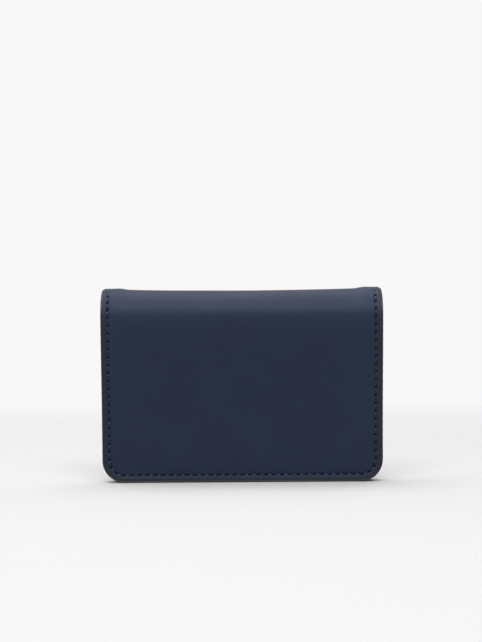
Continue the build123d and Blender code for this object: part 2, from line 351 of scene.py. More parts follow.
def make_object(name, points, faces, material, sheet=None, normals=None, caps=0):
    mesh = bpy.data.meshes.new(name)
    mesh.from_pydata(points.tolist(), [], faces)
    mesh.validate()
    mesh.update()
    mesh.shade_smooth()
    if sheet is not None:
        attribute = mesh.attributes.new("sheet", "FLOAT_VECTOR", "POINT")
        attribute.data.foreach_set("vector", (sheet * MM).astype(np.float32).ravel())
    if normals is not None:
        plain = len(mesh.polygons) - caps
        corners = []
        for polygon in mesh.polygons:
            own = tuple(polygon.normal)
            for corner in polygon.vertices:
                corners.append(own if polygon.index >= plain else tuple(normals[corner]))
        mesh.normals_split_custom_set(corners)
    mesh.materials.append(material)
    piece = bpy.data.objects.new(name, mesh)
    bpy.context.scene.collection.objects.link(piece)
    return piece


def part_of(points, faces, sheet, keep, normals):
    """The faces that `keep` picks, renumbered, with their cuts closed."""
    chosen = [face for face, wanted in zip(faces, keep) if wanted]
    caps = loops_of(chosen)
    used = sorted({c for face in chosen for c in face})
    renumber = {old: new for new, old in enumerate(used)}
    chosen = [[renumber[c] for c in face] for face in chosen + caps]
    return points[used], chosen, sheet[used], normals[used], len(caps)


def profile_point(s, depth):
    return tuple(lay([0], [s], [depth])[0])


def bend_with_fold(piece, zone, depth):
    """Bakes the piece's placement into its mesh. The points where its quarter of the fold starts and ends are
    worked out but not used; nothing here makes the piece bend.
    """
    start = profile_point(BACK_END + RADIUS * BEND * zone, depth)
    end = profile_point(BACK_END + RADIUS * BEND * (zone + 1), depth)
    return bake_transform(piece)


def zone_of(s):
    return sum(s > cut for cut in CUTS)


def build_in_zones(prefix, points, faces, sheet, material, stands_for, depth):
    """Cuts a full-length layer at the fold's quarters into pieces of their own, and hides the CAD nodes that
    each stands for.
    """
    normals = normals_of(points, faces)
    zones = np.array([zone_of(sheet[face, 1].mean()) for face in faces])
    made = []
    for zone, (name, nodes) in enumerate(stands_for):
        places, chosen, *rest = part_of(points, faces, sheet, zones == zone, normals)
        piece = make_object(f"{prefix}_{name}", places, chosen, material, *rest)
        bend_with_fold(piece, zone, depth)
        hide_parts(*nodes)
        made.append(piece)
    return made


# ------------------------------------------------------------------ the seam round the edge
FLAT_RUN = CORNER - SEAM_INSET
SEAM_HALF = HALF_WIDTH - SEAM_INSET


def half_seam(length):
    """Corner-to-corner lengths of a half's U-shaped seam: side, corner, bottom."""
    return length - CORNER, FLAT_RUN * math.pi / 2, 2 * (HALF_WIDTH - CORNER)


def half_pitch(length):
    side, corner, bottom = half_seam(length)
    total = 2 * side + 2 * corner + bottom
    return total, total / round(total / STITCH_PITCH)


def seam_phase(x, s):
    """Position along the stitch at this place: whole numbers are needle holes."""
    in_back = s <= BACK_END
    in_flap = s >= FLAP_START
    phase = (s - BACK_END) / SIDE_PITCH
    for wanted, length, foot in ((in_back, BACK_END, s), (in_flap, FLAP_LENGTH, SHEET_END - s)):
        side, corner, bottom = half_seam(length)
        pitch = half_pitch(length)[1]
        across = HALF_WIDTH - CORNER
        over = np.maximum(np.abs(x) - across, 0)
        angle = np.arctan2(np.maximum(CORNER - foot, 0), np.maximum(over, 1e-9))
        on_bottom = side + corner + (across - np.abs(x))
        on_corner = side + FLAT_RUN * angle
        run = np.where(foot >= CORNER, length - foot, np.where(np.abs(x) > across, on_corner, on_bottom))
        phase = np.where(wanted, run / pitch, phase)
    return phase


def edge_distance(x, s):
    side = HALF_WIDTH - np.abs(x)
    foot = np.minimum(s, SHEET_END - s)
    corner = CORNER - np.hypot(CORNER - side, CORNER - foot)
    return np.where((side < CORNER) & (foot < CORNER), corner, np.minimum(side, foot))


def hole_closeness(x, s, spread=0.42):
    """1 in the middle of a needle hole, falling to 0 round it; `spread` is its size along the seam."""
    phase = seam_phase(x, s)
    away = np.abs(phase - np.round(phase)) * STITCH_PITCH
    beside = (edge_distance(x, s) - SEAM_INSET) / 0.40
    return np.exp(-((away / spread) ** 2)) * np.exp(-(beside**2))


def cover_depth(x, s):
    """The outer face of the leather: pillowed towards the seam, pulled down along it, flared at the edge."""
    away = edge_distance(x, s)
    pillow = 0.12 * (1 - smooth(away, 3.0, 7.5))
    groove = 0.20 * np.exp(-(((away - SEAM_INSET) / 0.5) ** 2))
    flare = -0.14 * (1 - smooth(away, 0.4, 2.4))
    roll = 0.20 * (1 - smooth(away, 0.0, 0.55))
    return pillow + groove + flare + roll + 0.46 * hole_closeness(x, s)


STEP = 0.506
ROWS = (
    spaced(CORNER, BACK_END, STEP)[:-1]
    + [BACK_END + ARC * k / 48 for k in range(48)]
    + spaced(FLAP_START, SHEET_END - CORNER, STEP)
)
SEAM_RINGS = [
    0.3, 0.5, 0.8, 1.2, 1.6, 1.9, 2.15, 2.35, 2.53, 2.7, 2.87, 3.05, 3.25, 3.5, 3.9, 4.5, 5.4, 6.8, CORNER,
]  # closest round the seam


# ------------------------------------------------------------------ materials
def nodes_for(name):
    material = bpy.data.materials.new(name)
    material.use_nodes = True
    tree = material.node_tree
    tree.nodes.clear()
    output = tree.nodes.new("ShaderNodeOutputMaterial")
    shader = tree.nodes.new("ShaderNodeBsdfPrincipled")
    tree.links.new(shader.outputs["BSDF"], output.inputs["Surface"])
    return material, tree, shader


def add_node(tree, kind, inputs=None, **settings):
    node = tree.nodes.new(kind)
    for key, value in settings.items():
        setattr(node, key, value)
    for key, value in (inputs or {}).items():
        if isinstance(value, bpy.types.NodeSocket):
            tree.links.new(value, node.inputs[key])
        else:
            node.inputs[key].default_value = value
    return node


def stored(tree, name, output="Fac"):
    """A value that the mesh carries."""
    node = add_node(tree, "ShaderNodeAttribute", attribute_name=name, attribute_type="GEOMETRY")
    return node.outputs[output]


def sheet_coordinates(tree):
    return stored(tree, "sheet", "Vector")


def noise(tree, where, scale, detail=3.0, roughness=0.55, distortion=0.0):
    inputs = {"Vector": where, "Scale": scale, "Detail": detail}
    inputs |= {"Roughness": roughness, "Distortion": distortion}
    return add_node(tree, "ShaderNodeTexNoise", inputs).outputs["Fac"]


def ramp(tree, value, *stops):
    node = add_node(tree, "ShaderNodeValToRGB", {"Fac": value})
    elements = node.color_ramp.elements
    while len(elements) < len(stops):
        elements.new(0.5)
    for element, (position, colour) in zip(elements, stops):
        element.position = position
        element.color = (*colour, 1) if len(colour) == 3 else colour
    return node.outputs["Color"]


def span(tree, value, low, high, out_low, out_high):
    inputs = {"Value": value, "From Min": low, "From Max": high, "To Min": out_low, "To Max": out_high}
    return add_node(tree, "ShaderNodeMapRange", inputs).outputs["Result"]


def math_node(tree, operation, first, second=None):
    node = tree.nodes.new("ShaderNodeMath")
    node.operation = operation
    for socket, value in zip(node.inputs, (first, second)):
        if value is None:
            continue
        if isinstance(value, bpy.types.NodeSocket):
            tree.links.new(value, socket)
        else:
            socket.default_value = value
    return node.outputs["Value"]


def shared(tree, first, share, second):
    """first times its share, plus second times what is left."""
    parts = math_node(tree, "MULTIPLY", first, share), math_node(tree, "MULTIPLY", second, 1 - share)
    return math_node(tree, "ADD", *parts)


def mix_colour(tree, factor, first, second):
    node = tree.nodes.new("ShaderNodeMix")
    node.data_type = "RGBA"
    for socket, value in ((node.inputs[0], factor), (node.inputs[6], first), (node.inputs[7], second)):
        if isinstance(value, bpy.types.NodeSocket):
            tree.links.new(value, socket)
        else:
            socket.default_value = value
    return node.outputs[2]


def bump(tree, height, distance, strength=1.0, below=None):
    inputs = {"Height": height, "Distance": distance, "Strength": strength}
    if below is not None:
        inputs["Normal"] = below
    return add_node(tree, "ShaderNodeBump", inputs).outputs["Normal"]


GLOSS = 0.527


def leather(name, dark, light, roughness, grain):
    """Finished hide: cloudy dye, fine pores and creases, and a slightly uneven gloss. Where the mesh marks
    them, the needle holes carry painted shade and the margin outside the seam a painted sheen.
    """
    material, tree, shader = nodes_for(name)
    where = sheet_coordinates(tree)
    clouds = noise(tree, where, 55, 4, 0.6)
    specks = noise(tree, where, 1900, 2, 0.6)
    tone = shared(tree, clouds, 0.75, specks)
    colour = ramp(tree, tone, (0.36, dark), (0.64, light))
    hole = stored(tree, "hole")
    # Painted sheen: the margin outside the seam is mixed towards a greyer colour, standing in for the light
    # it catches.
    colour = mix_colour(tree, stored(tree, "margin"), colour, (0.0035, 0.0055, 0.0060, 1))
    # Painted shade: the needle holes are painted near black, standing in for the shade inside them.
    colour = mix_colour(tree, hole, colour, (0.0006, 0.0008, 0.0012, 1))
    tree.links.new(colour, shader.inputs["Base Color"])
    inputs = {"Vector": where, "Scale": 2600.0, "Randomness": 1.0}
    cells = add_node(tree, "ShaderNodeTexVoronoi", inputs, feature="DISTANCE_TO_EDGE")
    creases = span(tree, cells.outputs["Distance"], 0.0, 0.22, 0.0, 1.0)
    pores = span(tree, noise(tree, where, 5200, 2, 0.5), 0.3, 0.55, 0.0, 1.0)
    relief = shared(tree, creases, 0.6, pores)
    fine = bump(tree, relief, 0.000012 * grain, 0.8)
    hide = bump(tree, noise(tree, where, 420, 3, 0.55), 0.00004 * grain, 0.6, fine)
    tree.links.new(hide, shader.inputs["Normal"])
    rough = span(tree, shared(tree, clouds, 0.6, relief), 0.3, 0.8, roughness + 0.05, roughness - 0.05)
    tree.links.new(rough, shader.inputs["Roughness"])
    shader.inputs["IOR"].default_value = 1.47
    shader.inputs["Specular IOR Level"].default_value = GLOSS
    if name == "cover_leather":  # its needle holes have no gloss, part of the painted shade in them
        tree.links.new(span(tree, hole, 0.1, 0.8, GLOSS, 0.0), shader.inputs["Specular IOR Level"])
    shader.inputs["Specular Tint"].default_value = (0.651, 0.725, 1.0, 1)
    return material


def painted_edge():
    material, tree, shader = nodes_for("edge_paint")
    where = sheet_coordinates(tree)
    coats = noise(tree, where, 700, 3, 0.6)
    colour = ramp(tree, coats, (0.35, (0.0025, 0.003, 0.0042)), (0.7, (0.005, 0.006, 0.008)))
    tree.links.new(colour, shader.inputs["Base Color"])
    tree.links.new(span(tree, coats, 0.3, 0.7, 0.34, 0.48), shader.inputs["Roughness"])
    drags = bump(tree, noise(tree, where, 1500, 2, 0.5), 0.00003, 0.7)
    tree.links.new(bump(tree, noise(tree, where, 260, 2, 0.5), 0.00012, 0.7, drags), shader.inputs["Normal"])
    return material


def woven(name, dark, light, pitch, roughness, sheen):
    """Plain weave: warp and weft of one pitch, each passing over the other in turn, with painted shade: the
    threads' crests are lighter and the gaps between them darker.
    """
    material, tree, shader = nodes_for(name)
    where = sheet_coordinates(tree)
    parts = add_node(tree, "ShaderNodeSeparateXYZ", {"Vector": where})
    turns = math.pi / pitch
    warp = math_node(tree, "SINE", math_node(tree, "MULTIPLY", parts.outputs["X"], turns))
    weft = math_node(tree, "SINE", math_node(tree, "MULTIPLY", parts.outputs["Y"], turns))
    over = math_node(tree, "MULTIPLY", warp, weft)
    ridge_x = math_node(tree, "ABSOLUTE", warp)
    ridge_y = math_node(tree, "ABSOLUTE", weft)
    picked = math_node(tree, "GREATER_THAN", over, 0.0)
    other = math_node(tree, "SUBTRACT", 1.0, picked)
    height = math_node(
        tree, "ADD", math_node(tree, "MULTIPLY", picked, ridge_x), math_node(tree, "MULTIPLY", other, ridge_y)
    )
    slubs = noise(tree, where, 900, 3, 0.6)
    # Painted shade: the colour follows the weave's height, darker in the gaps between threads; the slubs add
    # a random tone of the yarn.
    tone = shared(tree, height, 0.6, slubs)
    tree.links.new(ramp(tree, tone, (0.25, dark), (0.8, light)), shader.inputs["Base Color"])
    threads = bump(tree, height, 0.00006, 0.9)
    tree.links.new(bump(tree, slubs, 0.00005, 0.5, threads), shader.inputs["Normal"])
    rough = span(tree, slubs, 0.3, 0.7, roughness + 0.06, roughness - 0.06)
    tree.links.new(rough, shader.inputs["Roughness"])
    shader.inputs["Sheen Weight"].default_value = sheen
    shader.inputs["Sheen Roughness"].default_value = 0.5
    shader.inputs["Sheen Tint"].default_value = (0.6, 0.68, 0.85, 1)
    return material


def thread_material():
    """Waxed polyester: fine fibres along the twist."""
    material, tree, shader = nodes_for("thread")
    where = sheet_coordinates(tree)
    fibres = noise(tree, where, 4200, 3, 0.7)
    strands = noise(tree, where, 900, 2, 0.5)
    colour = ramp(tree, strands, (0.3, (0.0015, 0.0035, 0.010)), (0.7, (0.0035, 0.0075, 0.019)))
    tree.links.new(colour, shader.inputs["Base Color"])
    tree.links.new(span(tree, fibres, 0.3, 0.7, 0.20, 0.32), shader.inputs["Roughness"])
    tree.links.new(bump(tree, fibres, 0.00004, 0.7), shader.inputs["Normal"])
    shader.inputs["Specular IOR Level"].default_value = 0.7
    shader.inputs["Specular Tint"].default_value = (0.68, 0.76, 1.0, 1)
    return material


def felted(name, dark, light):
    """Bonded fibre sheet: short fibres lying every way."""
    material, tree, shader = nodes_for(name)
    where = sheet_coordinates(tree)
    fibres = noise(tree, where, 1500, 5, 0.7, 2.5)
    tree.links.new(ramp(tree, fibres, (0.3, dark), (0.7, light)), shader.inputs["Base Color"])
    tree.links.new(bump(tree, fibres, 0.00005, 0.8), shader.inputs["Normal"])
    tree.links.new(span(tree, fibres, 0.3, 0.7, 0.95, 0.85), shader.inputs["Roughness"])
    return material


COVER_LEATHER = leather("cover_leather", (0.00130, 0.0053, 0.0163), (0.00170, 0.0067, 0.0203), 0.615, 1.0)
INNER_LEATHER = leather("inner_leather", (0.0017, 0.0062, 0.0180), (0.0024, 0.0085, 0.0240), 0.64, 1.4)
EDGE_PAINT = painted_edge()
LINING_CLOTH = woven("lining_cloth", (0.005, 0.008, 0.016), (0.014, 0.020, 0.037), 0.00042, 0.8, 0.10)
FIBRE_SHEET = felted("fibre_sheet", (0.20, 0.19, 0.17), (0.36, 0.35, 0.32))
THREAD = thread_material()


# ------------------------------------------------------------------ outer leather, one sheet in four parts
OUTER_FACE = 1.0  # what is less deep than this belongs to the leather's outer face
MARGIN_SHEEN = 0.7  # how strongly the margin outside the seam takes its greyer colour, a painted sheen


def mark_holes(piece):
    """Stores where the needle holes are and where the margin outside the seam lies, for the leather's
    colours: painted shade in the holes and a painted sheen on the margin.
    """
    mesh = piece.data
    sheet = np.zeros(len(mesh.vertices) * 3, np.float32)
    mesh.attributes["sheet"].data.foreach_get("vector", sheet)
    sheet = sheet.reshape(-1, 3) / MM
    outer = sheet[:, 2] < OUTER_FACE
    # How strongly each point takes the painted shade of a needle hole.
    dark = hole_closeness(sheet[:, 0], sheet[:, 1], 0.38) * outer
    attribute = mesh.attributes.new("hole", "FLOAT", "POINT")
    attribute.data.foreach_set("value", np.clip(dark * 1.05, 0, 1).astype(np.float32))
    # How strongly each point takes the margin's painted sheen.
    margin = (1 - smooth(edge_distance(sheet[:, 0], sheet[:, 1]), 1.6, 3.0)) * outer
    attribute = mesh.attributes.new("margin", "FLOAT", "POINT")
    attribute.data.foreach_set("value", (MARGIN_SHEEN * margin).astype(np.float32))


def solid_sheet(inset, rows, rings, column_step, outer, inner, edge, group=3):
    flat = flat_sheet(HALF_WIDTH - inset, rows, rings, CORNER - inset, column_step, group)
    return solidify(flat, outer, inner, edge, lay)


ZONE_NAMES = ("back", "fold_a", "fold_b", "flap")


def stands_for(layer):
    """Which CAD nodes of this layer each zone's piece replaces."""
    folds = [f"fold_{layer}_{number}" for number in (1, 2, 3)]
    return list(zip(ZONE_NAMES, ([f"back_{layer}"], folds[:1], folds[1:], [f"flap_{layer}"])))


COVER_EDGE = [(0.12, 0.05), (0.22, 0.14), (0.28, 0.28), (0.30, 0.45), (0.30, 0.85), (0.26, 0.97)]
points, faces, sheet = solid_sheet(0, ROWS, SEAM_RINGS, 0.516, cover_depth, COVER, COVER_EDGE)
leather_pieces = build_in_zones(
    "leather", points, faces, sheet, COVER_LEATHER, stands_for("cover"), 0.3
)
for piece in leather_pieces:
    mark_holes(piece)

THIN_EDGE = [(0.06, 0.12), (0.09, 0.5), (0.06, 0.88)]
LAYER_STEP = 1.2
LAYER_ARC_STEPS = 32
rows = spaced(CORNER, BACK_END, LAYER_STEP) + spaced(FLAP_START, SHEET_END - CORNER, LAYER_STEP)
rows += [BACK_END + ARC * k / LAYER_ARC_STEPS for k in range(LAYER_ARC_STEPS + 1)]
LAYER_ROWS = sorted({round(s, 6) for s in rows})


def level(depth):
    return lambda x, s: np.full(np.shape(x), float(depth))


plain = [0.1, 0.6, 2.0, 4.5, CORNER - LAYER_INSET]
for prefix, material, layer, top, bottom in (
    ("fibre_sheet", FIBRE_SHEET, "reinforcement", COVER, LINING_TOP),
    ("lining", LINING_CLOTH, "lining", LINING_TOP, STACK),
):
    points, faces, sheet = solid_sheet(LAYER_INSET, LAYER_ROWS, plain, 2.0, level(top), bottom, THIN_EDGE, 1)
    middle = round((top + bottom) / 2, 6)
    build_in_zones(prefix, points, faces, sheet, material, stands_for(layer), middle)


# ------------------------------------------------------------------ edge paint round the whole sheet
def ring_path(rows):
    """The sheet's outline as a closed run of (x, s, outward x, outward s)."""
    inner = HALF_WIDTH - CORNER
    quarter = spaced(0, math.pi / 2, math.pi / 48)
    bottom = spaced(-inner, inner, 0.8)

    def corner(x, s, start):
        ways = [(math.cos(start + a), math.sin(start + a)) for a in quarter[1:-1]]
        return [(x + CORNER * across, s + CORNER * along, across, along) for across, along in ways]

    path = [(HALF_WIDTH, s, 1, 0) for s in rows]
    path += corner(inner, rows[-1], 0)
    path += [(x, rows[-1] + CORNER, 0, 1) for x in reversed(bottom)]
    path += corner(-inner, rows[-1], math.pi / 2)
    path += [(-HALF_WIDTH, s, -1, 0) for s in reversed(rows)]
    path += corner(-inner, rows[0], math.pi)
    path += [(x, rows[0] - CORNER, 0, -1) for x in bottom]
    path += corner(inner, rows[0], 3 * math.pi / 2)
    return np.array(path)


PAINT_SECTION = [
    (0.62, 0.00), (0.50, -0.06), (0.35, -0.10), (0.20, -0.06), (0.06, 0.04), (-0.04, 0.20), (-0.09, 0.45),
    (-0.10, 0.90), (-0.10, 1.36), (-0.06, 1.62), (0.04, 1.82), (0.20, 1.94), (0.38, 1.97), (0.50, 1.93),
    (0.46, 1.30), (0.40, 0.70), (0.50, 0.25),
]  # (distance in from the cut edge, depth)


def sweep(path, section):
    """The section carried round the outline, a little uneven, as paint put on by hand is."""
    count, sides = len(path), len(section)
    wobble = 0.015 * np.sin(path[:, 1] * 1.9 + path[:, 0] * 2.3)
    loops = []
    for inward, depth in section:
        edge = path[:, :2] - path[:, 2:] * (inward + wobble)[:, None]
        loops.append(np.column_stack([edge, np.full(count, depth)]))
    sheet = np.stack(loops, 1).reshape(-1, 3)
    faces = []
    for a in range(count):
        b = (a + 1) % count
        for k in range(sides):
            m = (k + 1) % sides
            faces.append([a * sides + k, a * sides + m, b * sides + m, b * sides + k])
    return sheet, faces


sheet, faces = sweep(ring_path(LAYER_ROWS), PAINT_SECTION)
points = lay(sheet[:, 0], sheet[:, 1], sheet[:, 2])
normals = normals_of(points, faces)
zones = np.array([zone_of(sheet[face, 1].mean()) for face in faces])
for zone, name in enumerate(ZONE_NAMES):
    places, chosen, *rest = part_of(points, faces, sheet, zones == zone, normals)
    piece = make_object(f"edge_paint_{name}", places, chosen, EDGE_PAINT, *rest)
    bend_with_fold(piece, zone, 1.0)


# ------------------------------------------------------------------ stitches
SIDES = 12
RUNS = 14


def stitch(centre, direction, top, dive, length, radius, slant=0.10):
    """One stitch as a twisted tube in sheet coordinates, its ends going down their needle holes."""
    t = np.linspace(-1, 1, RUNS)
    along = t * length / 2
    sunk = top + (dive - top) * np.abs(t) ** 2.8
    taper = radius * (1 - 0.25 * np.abs(t) ** 6)
    side = np.array([-direction[1], direction[0]])
    middle = np.array(centre)[None, :] + np.outer(along, direction) + np.outer(slant * t, side)
    around = np.linspace(0, 2 * math.pi, SIDES, endpoint=False)
    rope = 1 + 0.09 * np.cos(3 * (around[None, :] + 2.1 * t[:, None]))
    reach = taper[:, None] * rope
    flat_xy = middle[:, None, :] + side[None, None, :] * (reach * np.cos(around))[:, :, None]
    depth = sunk[:, None] - 0.8 * reach * np.sin(around)
    sheet = np.concatenate([flat_xy, depth[:, :, None]], 2).reshape(-1, 3)
    faces = []
    for run in range(RUNS - 1):
        for k in range(SIDES):
            m = (k + 1) % SIDES
            faces.append([run * SIDES + k, run * SIDES + m, (run + 1) * SIDES + m, (run + 1) * SIDES + k])
    faces.append(list(range(SIDES))[::-1])
    faces.append([(RUNS - 1) * SIDES + k for k in range(SIDES)])
    return sheet, faces


def half_stitches(length, foot_of):
    """Centres and directions of the stitches on one half, in sheet coordinates."""
    side, corner, bottom = half_seam(length)
    total, pitch = half_pitch(length)
    found = []
    for number in range(round(total / pitch)):
        run = (number + 0.5) * pitch
        mirror = run > total / 2
        run = total - run if mirror else run
        sign = 1 if mirror else -1
        if run < side:
            x, foot, way = SEAM_HALF, length - run, (0, -1)
        elif run < side + corner:
            angle = (run - side) / FLAT_RUN
            x = HALF_WIDTH - CORNER + FLAT_RUN * math.cos(angle)
            foot = CORNER - FLAT_RUN * math.sin(angle)
            way = (-math.sin(angle), -math.cos(angle))
        else:
            x, foot, way = HALF_WIDTH - CORNER - (run - side - corner), SEAM_INSET, (-1, 0)
        found.append(((sign * x, foot_of(foot)), (sign * way[0], way[1] * (foot_of(1) - foot_of(0)))))
    return found


def fold_stitches():
    found = []
    for sign in (-1, 1):
        for number in range(2 * ZONES):
            found.append(((sign * SEAM_HALF, BACK_END + (number + 0.5) * SIDE_PITCH), (0, 1)))
    return found


def join_stitches(stitches, place):
    sheets, faces, start = [], [], 0
    for sheet, own in stitches:
        sheets.append(sheet)
        faces += [[c + start for c in face] for face in own]
        start += len(sheet)
    sheet = np.vstack(sheets)
    return place(sheet[:, 0], sheet[:, 1], sheet[:, 2]), faces, sheet


def steady(number, spread):
    """A small fixed unevenness for stitch `number`."""
    return spread * math.sin(number * 12.9898 + 4.1)


ALL_STITCHES = (
    half_stitches(BACK_END, lambda foot: foot)
    + fold_stitches()
    + half_stitches(FLAP_LENGTH, lambda foot: SHEET_END - foot)
)


def seam_pieces(prefix, depth_at, wanted, replaced, top_lift):
    for zone, name in enumerate(ZONE_NAMES):
        chosen = []
        for number, (centre, way) in enumerate(ALL_STITCHES):
            if zone_of(centre[1]) != zone or not wanted(*centre):
                continue
            surface = depth_at(*centre)
            top = surface + top_lift * 0.06 + steady(number, 0.02)
            dive = surface + top_lift * 0.75
            slant = 0.12 + steady(number, 0.05)
            chosen.append(stitch(centre, way, top, dive, length=2.55, radius=0.26, slant=slant))
        if not chosen:
            continue
        points, faces, sheet = join_stitches(chosen, lay)
        piece = make_object(f"{prefix}_{name}", points, faces, THREAD, sheet)
        bend_with_fold(piece, zone, 0.3 if top_lift > 0 else STACK)
        if replaced:
            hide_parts(*dict(stands_for("seam_thread"))[name])


seam_pieces("seam_thread", lambda x, s: 0.14, lambda x, s: True, True, 1)


def inside_depth(x, s):
    up = SHEET_END - s
    if up < LOWER_MOUTH:
        return STACK + 2 * (SLOT_ROOM + SLOT_LEATHER)
    if up < UPPER_MOUTH:
        return STACK + SLOT_ROOM + SLOT_LEATHER
    return STACK


POCKET_TOP = 61.5  # the back's seam shows on the lining only above the pocket
seam_pieces("inside_thread", inside_depth, lambda x, s: s > POCKET_TOP, False, -1)


# ------------------------------------------------------------------ card slots in the flap
def flap_rows(low, high, step):
    """Rows from the mouth (up the flap) down to the corner row."""
    return spaced(SHEET_END - high, SHEET_END - low, step)


def slot_face(depth, mouth):
    """The panel's face: a pressed crease under its mouth and a pull along the seam."""

    def at(x, s):
        up = SHEET_END - s
        crease = -0.14 * np.exp(-(((mouth - up - 1.8) / 0.28) ** 2))
        pulled = -0.16 * np.exp(-(((edge_distance(x, s) - SEAM_INSET) / 0.5) ** 2))
        lip = -0.12 * (1 - smooth(mouth - up, 0.0, 0.7))
        return np.full(np.shape(x), depth) + crease + pulled + lip

    return at


CREASE_ROWS = (0.12, 0.3, 1.45, 1.65, 1.8, 1.95, 2.2)  # down from the mouth


def slot_panel(name, depth, mouth):
    """A panel whose visible face looks into the holder, so it is laid out from that face."""
    inset = 0.4
    rows = sorted(set(flap_rows(CORNER, mouth, 0.62) + [SHEET_END - mouth + d for d in CREASE_ROWS]))
    rings = [0.15, 0.5, 1.0, 1.5, 1.9, 2.3, 2.8, 3.4, 4.4, 6.0, CORNER - inset]
    flat = flat_sheet(HALF_WIDTH - inset, rows, rings, CORNER - inset, 0.9, 3, feet=(False, True))
    face = slot_face(depth + SLOT_LEATHER, mouth)
    edge = [(0.08, 0.12), (0.13, 0.35), (0.13, 0.7), (0.08, 0.92)]
    points, faces, sheet = solidify(flat, face, depth, edge, lay)
    faces = [f[::-1] for f in faces]
    normals = normals_of(points, faces)
    piece = make_object(f"{name}_panel_leather", points, faces, INNER_LEATHER, sheet, normals)
    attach(piece, "flap")
    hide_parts(f"{name}_panel")


def slot_margins(name, depth, mouth):
    """The sewn margin that holds a slot's panel off the layer under it."""
    inset = 0.42
    rows = flap_rows(CORNER, mouth, 1.5)
    rings = [0.1, 1.0, 2.6, 4.2]
    flat = flat_sheet(HALF_WIDTH - inset, rows, rings, CORNER - inset, 1.6, 1, (False, True), False)
    points, faces, sheet = solidify(flat, level(depth + 0.01), depth + SLOT_ROOM - 0.01, THIN_EDGE, lay)
    normals = normals_of(points, faces)
    piece = make_object(f"{name}_margins_leather", points, faces, INNER_LEATHER, sheet, normals)
    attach(piece, "flap")
    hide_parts(f"{name}_margins")


for name, depth, mouth in (
    ("upper_slot", STACK, UPPER_MOUTH),
    ("lower_slot", STACK + SLOT_ROOM + SLOT_LEATHER, LOWER_MOUTH),
):
    slot_margins(name, depth, mouth)
    slot_panel(name, depth + SLOT_ROOM, mouth)


# ------------------------------------------------------------------ main pocket
POCKET_SEAM = 2.5


def pocket_face(x, v):
    side = POCKET_HALF_WIDTH - np.abs(x)
    crease = 0.13 * np.exp(-(((POCKET_LENGTH - v - 2.0) / 0.3) ** 2))
    pulled = 0.16 * np.exp(-(((side - POCKET_SEAM) / 0.5) ** 2)) * smooth(v, 0, 3)
    foot = 0.12 * np.exp(-(((v + 1.6) / 0.5) ** 2))
    return crease + pulled + foot + 0.10 * (1 - smooth(POCKET_LENGTH - v, 0.0, 0.8))


POCKET_CORNER = 7.6
POCKET_SINK = 3.5  # how far the pocket's front reaches below its hinge line
pocket_rows = spaced(-POCKET_SINK + POCKET_CORNER, POCKET_LENGTH - 0.15, 0.62)
pocket_rows = sorted(set(pocket_rows + [POCKET_LENGTH - d for d in (0.3, 0.6, 1.6, 1.85, 2.0, 2.15, 2.4)]))


def pocket_sheet(name, half_width, bottom, face, material, node, rows, rings, edge):
    """One layer of the pocket's front, from its own face to depth `bottom`."""
    flat = flat_sheet(half_width, rows, rings, POCKET_CORNER, 0.9, 3, feet=(True, False))
    points, faces, sheet = solidify(flat, face, bottom, edge, lay_pocket)
    piece = make_object(name, points, faces, material, sheet, normals_of(points, faces))
    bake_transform(piece)
    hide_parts(node)


pocket_sheet(
    "pocket_front_leather", POCKET_HALF_WIDTH - 0.12, 0.7, pocket_face, INNER_LEATHER,
    "pocket_front", pocket_rows, [0.12, 0.5, 1.1, 1.6, 2.0, 2.38, 2.8, 3.3, 4.2, 5.8, POCKET_CORNER],
    [(0.07, 0.12), (0.11, 0.35), (0.11, 0.7), (0.07, 0.92)],
)
pocket_sheet(
    "pocket_front_cloth", POCKET_HALF_WIDTH - 0.5, 1.0, level(0.71), LINING_CLOTH,
    "pocket_front_lining", spaced(4.0, POCKET_LENGTH - 0.3, 1.2), [0.1, 1.5, 4.0, POCKET_CORNER], THIN_EDGE,
)

chosen = []
count = int((POCKET_LENGTH - 1.0) / STITCH_PITCH)
for number in range(count):
    for sign in (-1, 1):
        centre = (sign * (POCKET_HALF_WIDTH - POCKET_SEAM), 1.6 + (number + 0.5) * STITCH_PITCH)
        chosen.append(stitch(centre, (0, 1), top=0.10, dive=0.62, length=2.6, radius=0.24))
points, faces, sheet = join_stitches(chosen, lay_pocket)
piece = make_object("pocket_thread", points, faces, THREAD, sheet)
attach(piece, "pocket")
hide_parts("pocket_seam_thread")

rows, rings = [CORNER - 0.2, CORNER], [0.1, 1.0, 2.5, 4.0]
flat = flat_sheet(HALF_WIDTH - LAYER_INSET, rows, rings, CORNER - LAYER_INSET, 1.6, 1, (True, False), False)
low = Flat()
for face in flat.faces:
    ring = [flat.points[c] for c in face]
    if max(p[1] for p in ring) <= POCKET_Z + 0.4:
        low.face(*ring)
points, faces, sheet = solidify(low, level(STACK + 0.01), STACK + 0.99, THIN_EDGE, lay)
piece = make_object("pocket_foot_leather", points, faces, INNER_LEATHER, sheet, normals_of(points, faces))
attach(piece, "back_half")
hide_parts("pocket_foot")


